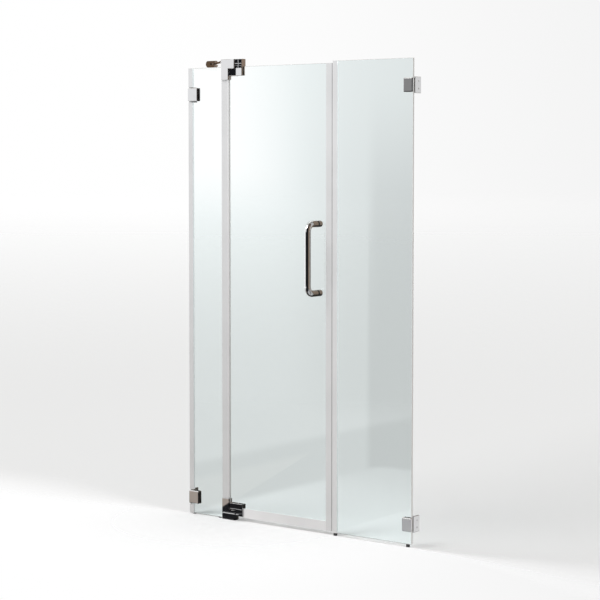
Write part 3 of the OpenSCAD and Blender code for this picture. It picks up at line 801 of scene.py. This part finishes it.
@dataclass
class Handle(Assembly):
    """The bent tube outside, the caps inside, and what joins them through the glass."""

    ring_sides: int = 64
    bend_steps: int = 20
    bend_radius: float = 30 * MM
    wall: float = 2 * MM
    weld: float = 0.001 * MM
    rim_edge: Edge = Edge(0.5 * MM)
    cap_edge: Edge = Edge(0.4 * MM)

    def build(self) -> None:
        """Makes the tube and dresses the rest."""
        self.finish(self.bent_tube(), Slot.CHROME, Body.DOOR, "handle_tube")
        self.soften(Slot.CHROME, Body.DOOR, self.cap_edge, "handle_inner_caps")
        self.paint(Slot.STEEL, "handle_inserts", "handle_bolts")
        self.paint(Slot.NYLON, "handle_sleeves")
        self.paint(Slot.RUBBER, "handle_washers")

    def bent_tube(self) -> bpy.types.Object:
        """Bends the tube from one ring of edges.

        Returns:
            The tube with its wall and rounded rims.
        """
        low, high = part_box("handle_tube")
        radius = (high.x - low.x) / 2
        axis_x = (high.x + low.x) / 2
        grip_y = low.y + radius
        bottom_z = low.z + radius
        top_z = high.z - radius
        turn_y = grip_y + self.bend_radius
        bpy.ops.object.select_all(action="DESELECT")
        bpy.ops.mesh.primitive_circle_add(
            vertices=self.ring_sides, radius=radius, fill_type="NOTHING",
            location=(axis_x, high.y, bottom_z), rotation=(math.pi / 2, 0, 0))
        piece = bpy.context.object
        piece.name = "handle_tube_bent"
        bpy.ops.object.transform_apply(location=True, rotation=True, scale=True)
        bpy.ops.object.mode_set(mode="EDIT")
        bpy.ops.mesh.select_all(action="SELECT")
        self._draw((0, turn_y - high.y, 0))
        self._bend((axis_x, turn_y, bottom_z + self.bend_radius))
        self._draw((0, 0, top_z - bottom_z - 2 * self.bend_radius))
        self._bend((axis_x, turn_y, top_z - self.bend_radius))
        self._draw((0, high.y - turn_y, 0))
        bpy.ops.mesh.select_all(action="SELECT")
        bpy.ops.mesh.remove_doubles(threshold=self.weld)
        bpy.ops.mesh.normals_make_consistent(inside=False)
        bpy.ops.object.mode_set(mode="OBJECT")
        wall = piece.modifiers.new("tube wall", "SOLIDIFY")
        wall.thickness = self.wall
        wall.offset = -1.0
        apply_modifiers(piece)
        self.rim_edge.round(piece)
        return piece

    @staticmethod
    def _draw(step: Sequence[float]) -> None:
        """Extrudes the selected ring straight by a step."""
        bpy.ops.mesh.extrude_edges_move(TRANSFORM_OT_translate={"value": step})

    def _bend(self, centre: Sequence[float]) -> None:
        """Spins the selected ring a quarter turn about a line along X through centre."""
        bpy.ops.mesh.spin(steps=self.bend_steps, angle=math.pi / 2, center=centre,
                          axis=(1, 0, 0), use_normal_flip=False)


@dataclass
class Seals(Assembly):
    """The vinyl profiles, the magnets in them, and the blocks under the glass."""

    edge: Edge = Edge(0.25 * MM, 2)

    def build(self) -> None:
        """Rounds the profiles and dresses the magnets and blocks."""
        self.soften(Slot.VINYL, Body.FIXED, self.edge, "left_wall_channel", "hinge_side_seal",
                    "strike_profile")
        self.soften(Slot.VINYL, Body.DOOR, self.edge, "door_edge_seal", "bottom_sweep")
        self.paint(Slot.MAGNET, "door_edge_magnet", "strike_magnet")
        self.paint(Slot.RUBBER, "left_setting_blocks", "right_setting_blocks")


@dataclass(frozen=True)
class FloorMirror:
    """The floor's colours as polished metal mirrors them, by the place in metres."""

    black: RGB = (0.018, 0.018, 0.02)
    brown: RGB = (0.46, 0.40, 0.355)
    grey: RGB = (0.52, 0.52, 0.53)
    inside: RGB = (0.05, 0.043, 0.037)
    line: RGB = (0.80, 0.80, 0.80)
    brown_lean: float = 0.4
    brown_left: Range = (-0.80, -0.65)
    brown_right: Range = (-0.134, -0.122)
    brown_back: Range = (-0.18, -0.15)
    bright_along: Band = (-0.14, -0.13, -0.055, -0.045)
    bright_across: Band = (-0.122, -0.119, -0.110, -0.107)
    faint_along: Band = (-0.17, -0.16, -0.10, -0.09)
    faint_across: Band = (-0.206, -0.203, -0.196, -0.193)
    faint_share: float = 0.5
    grey_left: Range = (0.44, 0.47)
    grey_front: Range = (-0.70, -0.65)
    inside_front: Range = (0.0, 0.03)
    far_left: Range = (-1.1, -0.9)

    def colour(self, graph: Graph, x: Signal, y: Signal) -> bpy.types.NodeSocket:
        """Paints the mirrored floor.

        Args:
            graph: The floor's node tree.
            x: The place along the door.
            y: The place across the threshold.

        Returns:
            Black with two pale lines in front of the hinge, brown to its left, grey to its
            right, dark inside, and pale far to the left.
        """
        brown = (x - y * self.brown_lean).fall(*self.brown_right)
        brown = brown * y.fall(*self.brown_back) * x.ramp(*self.brown_left)
        bright = x.band(*self.bright_along) * y.band(*self.bright_across)
        faint = x.band(*self.faint_along) * y.band(*self.faint_across)
        grey = x.ramp(*self.grey_left) * y.ramp(*self.grey_front)
        shade = graph.tint(brown, self.black, self.brown)
        shade = graph.tint(bright + faint * self.faint_share, shade, self.line)
        shade = graph.tint(grey, shade, self.grey)
        shade = graph.tint(y.ramp(*self.inside_front), shade, self.inside)
        return graph.tint(x.fall(*self.far_left), shade, self.line)


@dataclass(frozen=True)
class StudioFloor:
    """A pale floor that fades into the backdrop, palest in front of the door."""

    radius: float = 90.0
    sides: int = 96
    front: RGB = (0.97, 0.97, 0.97)
    left: RGB = (0.89, 0.89, 0.885)
    right: RGB = (0.83, 0.83, 0.825)
    left_to_right: Range = (-0.3, 0.9)
    centre_x: float = 0.32
    beside: Range = (0.55, 1.6)
    step_width: Range = (0.015, 0.35)
    glass_near: RGB = (0.95, 0.95, 0.945)
    glass_middle: RGB = (0.80, 0.80, 0.795)
    glass_far: RGB = (0.796, 0.796, 0.79)
    glass_far_right: RGB = (0.70, 0.70, 0.695)
    near_to_middle: Range = (0.4, 1.5)
    near_left: Range = (-0.30, -0.18)
    near_end: Range = (1.33, 1.45)
    far_slant: Range = (0.821, 0.571)
    far_right: Range = (0.52, 0.57)
    fade_front: Range = (0.06, 1.4)
    fade_rear: Range = (4.0, 75.0)
    fade_mirrored: Range = (2.5, 4.0)
    roughness: float = 0.9
    mottle_scale: float = 1.5
    mottle_haze: float = 0.05

    def lay(self) -> None:
        """Lays the floor."""
        bpy.ops.object.select_all(action="DESELECT")
        bpy.ops.mesh.primitive_circle_add(vertices=self.sides, radius=self.radius,
                                          fill_type="NGON")
        floor = bpy.context.object
        floor.name = "studio_floor"
        graph = new_graph("studio floor")
        x, y, _ = graph.parts(graph.place())
        width = abs(x - self.centre_x).ramp(*self.beside, *self.step_width)
        behind = (y / width).ramp(-1.0, 1.0)
        seen = graph.tint(behind, self.front, self._rear(graph, x, y))
        away = (x * x + y * y).math("SQRT")
        fade = self._fade(away, self.fade_front)
        fade = fade + behind * (self._fade(away, self.fade_rear) - fade)
        mirrored = graph.bounced("Glossy")
        fade = fade + mirrored * (away.ramp(*self.fade_mirrored) - fade)
        mottle = graph.noise(graph.place(), self.mottle_scale)
        graph.surface(graph.principled(
            Base_Color=graph.tint(mirrored, seen, FloorMirror().colour(graph, x, y)),
            Alpha=1.0 - fade, Roughness=mottle * self.mottle_haze + self.roughness,
            Specular_IOR_Level=0.0))
        floor.data.materials.append(graph.owner)

    def _rear(self, graph: Graph, x: Signal, y: Signal) -> bpy.types.NodeSocket:
        """The floor behind the door, with deeper tones where it is seen through glass."""
        slant_x, slant_y = self.far_slant
        plain = graph.tint(x.ramp(*self.left_to_right), self.left, self.right)
        far = graph.tint((x * slant_x + y * slant_y).ramp(*self.far_right), self.glass_far,
                         self.glass_far_right)
        near = graph.tint(y.ramp(*self.near_to_middle), self.glass_near, self.glass_middle)
        through = graph.tint(x.ramp(*self.near_left) * y.fall(*self.near_end), far, near)
        return graph.tint(graph.ray("Is Transmission Ray"), plain, through)

    @staticmethod
    def _fade(away: Signal, reach: Range) -> Signal:
        """How far the floor has faded at a distance, from the logarithms of its reach."""
        return away.math("LOGARITHM", math.e).ramp(math.log(reach[0]), math.log(reach[1]))


@dataclass(frozen=True)
class BroadLamp:
    """One broad, soft lamp, high in front and to the left."""

    strength: float = 1.35
    angle: float = math.radians(36)
    origin: Triple = (-0.45, -0.75, 0.95)

    def hang(self) -> None:
        """Hangs the lamp."""
        data = bpy.data.lights.new("broad lamp", "SUN")
        data.energy = self.strength
        data.angle = self.angle
        lamp = bpy.data.objects.new("broad lamp", data)
        lamp.rotation_euler = Vector(self.origin).to_track_quat("Z", "Y").to_euler()
        bpy.context.scene.collection.objects.link(lamp)


@dataclass(frozen=True)
class Surroundings:
    """What polished metal mirrors round the door.

    Turns are in degrees about Z from the door's front, and heights are the upward part of
    a direction.
    """

    pale: RGB = (0.95, 0.955, 0.965)
    grey: RGB = (0.29, 0.29, 0.29)
    black: RGB = (0.012, 0.012, 0.013)
    brown: RGB = (0.30, 0.225, 0.175)
    bevel: RGB = (0.60, 0.60, 0.60)
    dim: RGB = (0.10, 0.085, 0.075)
    overhead: RGB = (0.70, 0.69, 0.67)
    pale_turn: Range = (-138.0, -132.0)
    bevel_turn: Band = (-134.0, -131.0, -117.0, -113.0)
    grey_turn: Band = (-38.0, -35.0, -31.0, -28.0)
    black_turn: Range = (-15.0, -10.0)
    brown_turn: Range = (62.0, 72.0)
    grip_height: Band = (-0.10, -0.09, -0.01, 0.0)
    grip_left: Band = (-50.0, -45.0, -42.5, -41.5)
    grip_right: Range = (-32.5, -31.5)
    grip_behind: Range = (95.0, 130.0)
    dark_turn: Band = (125.0, 130.0, 140.5, 143.0)
    dark_height: Band = (0.0, 0.012, 0.038, 0.046)
    above_turn: Band = (-170.0, -160.0, -136.0, -134.0)
    above_height: Band = (0.08, 0.12, 0.35, 0.45)
    overhead_turn: Range = (-70.0, -30.0)
    overhead_height: Range = (0.5, 0.8)

    def colour(self, graph: Graph, turn: Signal, z: Signal) -> bpy.types.NodeSocket:
        """Paints what metal mirrors.

        Args:
            graph: The world's node tree.
            turn: The direction's turn about Z, in degrees, from the door's front.
            z: Its part upwards.

        Returns:
            The colour in that direction.
        """
        grip = z.band(*self.grip_height)
        core = turn.band(*self.grip_left) + turn.ramp(*self.grip_right)
        dark = turn.band(*self.dark_turn) * z.band(*self.dark_height)
        above = turn.band(*self.above_turn) * z.band(*self.above_height)
        shown = graph.tint(turn.ramp(*self.pale_turn), self.brown, self.pale)
        for share, tone in (
                (turn.band(*self.bevel_turn), self.bevel),
                (turn.band(*self.grey_turn), self.grey),
                (turn.ramp(*self.black_turn), self.black),
                (grip * core, self.black),
                (turn.ramp(*self.brown_turn), self.brown),
                (grip * turn.ramp(*self.grip_behind), self.dim),
                (dark + above, self.black)):
            shown = graph.tint(share, shown, tone)
        overhead = graph.tint(turn.ramp(*self.overhead_turn), self.overhead, self.dim)
        return graph.tint(z.ramp(*self.overhead_height), shown, overhead)


@dataclass(frozen=True)
class Backdrop:
    """A white backdrop that is a little deeper on one side, even light, and a soft box.

    Turns and heights are measured as in Surroundings.
    """

    ambient: float = 0.60
    veil_start: Range = (-175.0, -157.0)
    veil_turn: Range = (-156.0, -137.0)
    veil_beside: float = 0.10
    veil_through_glass: float = 0.16
    low_veil: float = 0.08
    low_veil_turn: Range = (-145.0, -141.0)
    low_veil_height: Range = (-0.05, 0.055)
    step_veil: float = 0.11
    step_turn: Range = (-145.5, -145.0)
    clear_lift: float = 0.125
    clear_warmth: RGB = (1.0, 0.953, 0.953)
    clear_turn: Band = (-143.5, -140.3, -130.0, -110.0)
    clear_height: Range = (-0.04, 0.0)
    softbox_lift: float = 0.3
    softbox_turn: Band = (-112.0, -104.0, -56.0, -46.0)

    def paint(self) -> None:
        """Paints the world."""
        world = bpy.data.worlds.new("studio")
        bpy.context.scene.world = world
        graph = Graph(world)
        x, y, z = graph.parts(graph.add("ShaderNodeTexCoord").outputs["Generated"])
        turn = x.math("ARCTAN2", -y) * (180 / math.pi)
        mirrored = graph.bounced("Glossy")
        passed = graph.ray("Is Transmission Ray")
        scattered = graph.bounced("Diffuse")
        near_side = turn.ramp(*self.veil_start)
        veil = turn.fall(*self.veil_turn) * near_side
        low_veil = (turn.fall(*self.low_veil_turn) * self.low_veil
                    + turn.fall(*self.step_turn) * self.step_veil) * near_side
        through = veil * self.veil_through_glass + low_veil * z.fall(*self.low_veil_height)
        backdrop = 1.0 - passed * through - veil * self.veil_beside
        clear = passed * turn.band(*self.clear_turn) * z.ramp(*self.clear_height)
        clear = clear * (1.0 - mirrored) * (1.0 - scattered)
        shown = graph.tint(clear, graph.tint(backdrop, BLACK, WHITE), self.clear_warmth)
        shown = graph.tint(mirrored, shown, Surroundings().colour(graph, turn, z))
        light = graph.tint(scattered, shown, (self.ambient,) * 3)
        softbox = mirrored * turn.band(*self.softbox_turn)
        lift = clear * self.clear_lift + softbox * self.softbox_lift + 1.0
        sky = graph.add("ShaderNodeBackground", {}, {"Color": light, "Strength": lift})
        graph.add("ShaderNodeOutputWorld", {}, {"Surface": sky.outputs[0]})


@dataclass(frozen=True)
class Flag:
    """A black card that one stretch of a plate mirrors towards the photo's camera."""

    name: str
    left: float
    right: float
    low: float
    high: float
    distance: float = 0.1

    def hang(self, face_y: float, eye: Vector, material: bpy.types.Material) -> None:
        """Hangs the card in front of the plate, for mirrored rays alone.

        Args:
            face_y: The plane of the plate's face.
            eye: The camera's place.
            material: The card's black.
        """
        spread = 1 + self.distance / (face_y - eye.y)
        across = eye.x + ((self.left + self.right) / 2 - eye.x) * spread
        height = eye.z + ((self.low + self.high) / 2 - eye.z) * spread
        bpy.ops.object.select_all(action="DESELECT")
        bpy.ops.mesh.primitive_plane_add(size=1, rotation=(math.pi / 2, 0, 0),
                                         location=(across, face_y - self.distance, height))
        card = bpy.context.object
        card.name = self.name
        card.scale = ((self.right - self.left) * spread, (self.high - self.low) * spread, 1)
        hide_but_mirrored(card, material)


def hide_but_mirrored(card: bpy.types.Object, material: bpy.types.Material) -> None:
    """Makes a card part of the stage, seen by mirrored rays alone."""
    card.data.materials.append(material)
    card.visible_camera = False
    card.visible_diffuse = False
    card.visible_transmission = False
    card.visible_shadow = False


@dataclass
class MirroredCards:
    """The cards that the top hinge, the brace and the clamps mirror."""

    eye: Vector
    black: RGB = (0.012, 0.012, 0.014)
    brown: RGB = (0.14, 0.093, 0.06)
    pale: RGB = (0.80, 0.80, 0.80)
    arm_height: float = 36 * MM
    foot_right: float = 24 * MM
    pane_gap: float = 1.6 * MM
    brace_gap: float = 10 * MM
    brace_cards: tuple[Band, ...] = ((0.02, 0.45, 1.62, 2.15), (-0.20, 0.02, 1.83, 2.15))
    right_gap: float = 0.13
    right_card: Band = (0.0, 0.45, 0.0, 1.95)

    def build(self) -> None:
        """Hangs all the cards."""
        self.cover_top_hinge()
        brown = self._paint("card brown", self.brown)
        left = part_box("brace_wall_socket")[0].x - self.brace_gap
        for number, sides in enumerate(self.brace_cards):
            self._stand(f"card_by_the_brace_{number}", left, sides, brown)
        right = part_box("right_top_clamp_body")[1].x + self.right_gap
        self._stand("card_by_the_right_panel", right, self.right_card,
                    self._paint("card pale", self.pale))

    def cover_top_hinge(self) -> None:
        """Hangs a black card for each dark pane of the top hinge and for its foot."""
        black = self._paint("flag black", self.black)
        arm_low, arm_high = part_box("top_bracket_body")
        clamp_low, clamp_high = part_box("top_door_clamp_body")
        seam = arm_high.z - self.arm_height
        middle_x = (arm_high.x + clamp_high.x) / 2
        middle_z = (seam + arm_high.z) / 2
        half = self.pane_gap / 2
        rows = {"upper": (middle_z + half, arm_high.z), "lower": (seam, middle_z - half)}
        columns = {"left": (arm_high.x, middle_x - half),
                   "right": (middle_x + half, clamp_high.x)}
        flags = [Flag(f"pane_{row}_{column}", *columns[column], *rows[row])
                 for row in rows for column in columns]
        flags.append(Flag("foot_left", clamp_low.x, self.foot_right, clamp_low.z, seam))
        for flag in flags:
            flag.hang(arm_low.y, self.eye, black)

    @staticmethod
    def _stand(name: str, x: float, sides: Band, material: bpy.types.Material) -> None:
        """Stands an upright card across the line of the door.

        Args:
            name: Its name.
            x: Its place along the door.
            sides: Its front, back, lower and upper side.
            material: Its glow.
        """
        front, back, low, high = sides
        bpy.ops.object.select_all(action="DESELECT")
        bpy.ops.mesh.primitive_plane_add(size=1, rotation=(0, math.pi / 2, 0),
                                         location=(x, (front + back) / 2, (low + high) / 2))
        card = bpy.context.object
        card.name = name
        card.scale = (high - low, back - front, 1)
        hide_but_mirrored(card, material)

    @staticmethod
    def _paint(name: str, tone: RGB) -> bpy.types.Material:
        """A flat glow of one tone."""
        graph = new_graph(name)
        graph.surface(graph.principled(Base_Color=(*BLACK, 1.0), Specular_IOR_Level=0.0,
                                       Emission_Color=(*tone, 1.0), Emission_Strength=1.0))
        return graph.owner


@dataclass
class PhotoCamera:
    """The camera at the photograph's viewing angle."""

    place: Vector = field(default_factory=lambda: Vector((4.526, -5.556, 1.470)))
    yaw: float = math.radians(37.03)
    pitch: float = math.radians(3.30)
    focal_pixels: float = 1779.8
    drop_pixels: float = 40.0
    frame_pixels: int = 600
    sensor: float = 36.0
    reach: float = 500.0

    def build(self) -> None:
        """Places the camera and makes it the scene's own."""
        data = bpy.data.cameras.new("photo camera")
        data.sensor_fit = "HORIZONTAL"
        data.sensor_width = self.sensor
        data.lens = self.focal_pixels * self.sensor / self.frame_pixels
        data.shift_y = -self.drop_pixels / self.frame_pixels
        data.clip_end = self.reach
        camera = bpy.data.objects.new("photo camera", data)
        camera.location = self.place
        camera.rotation_euler = (math.pi / 2 - self.pitch, 0, self.yaw)
        bpy.context.scene.collection.objects.link(camera)
        bpy.context.scene.camera = camera


def main() -> None:
    """Sets the stage and dresses every sub-assembly."""
    logging.basicConfig(level=logging.INFO, format="%(name)s: %(message)s")
    bpy.context.scene.view_settings.view_transform = "Standard"
    camera = PhotoCamera()
    camera.build()
    StudioFloor().lay()
    BroadLamp().hang()
    Backdrop().paint()
    MirroredCards(camera.place).build()
    finishes = Finishes()
    finishes.build()
    for kind in (GlassPanels, WallClamps, PivotHinges, Brace, Handle, Seals):
        assembly = kind(finishes)
        log.info("sub-assembly: %s", kind.__name__)
        assembly.build()


if __name__ == "__main__":
    main()
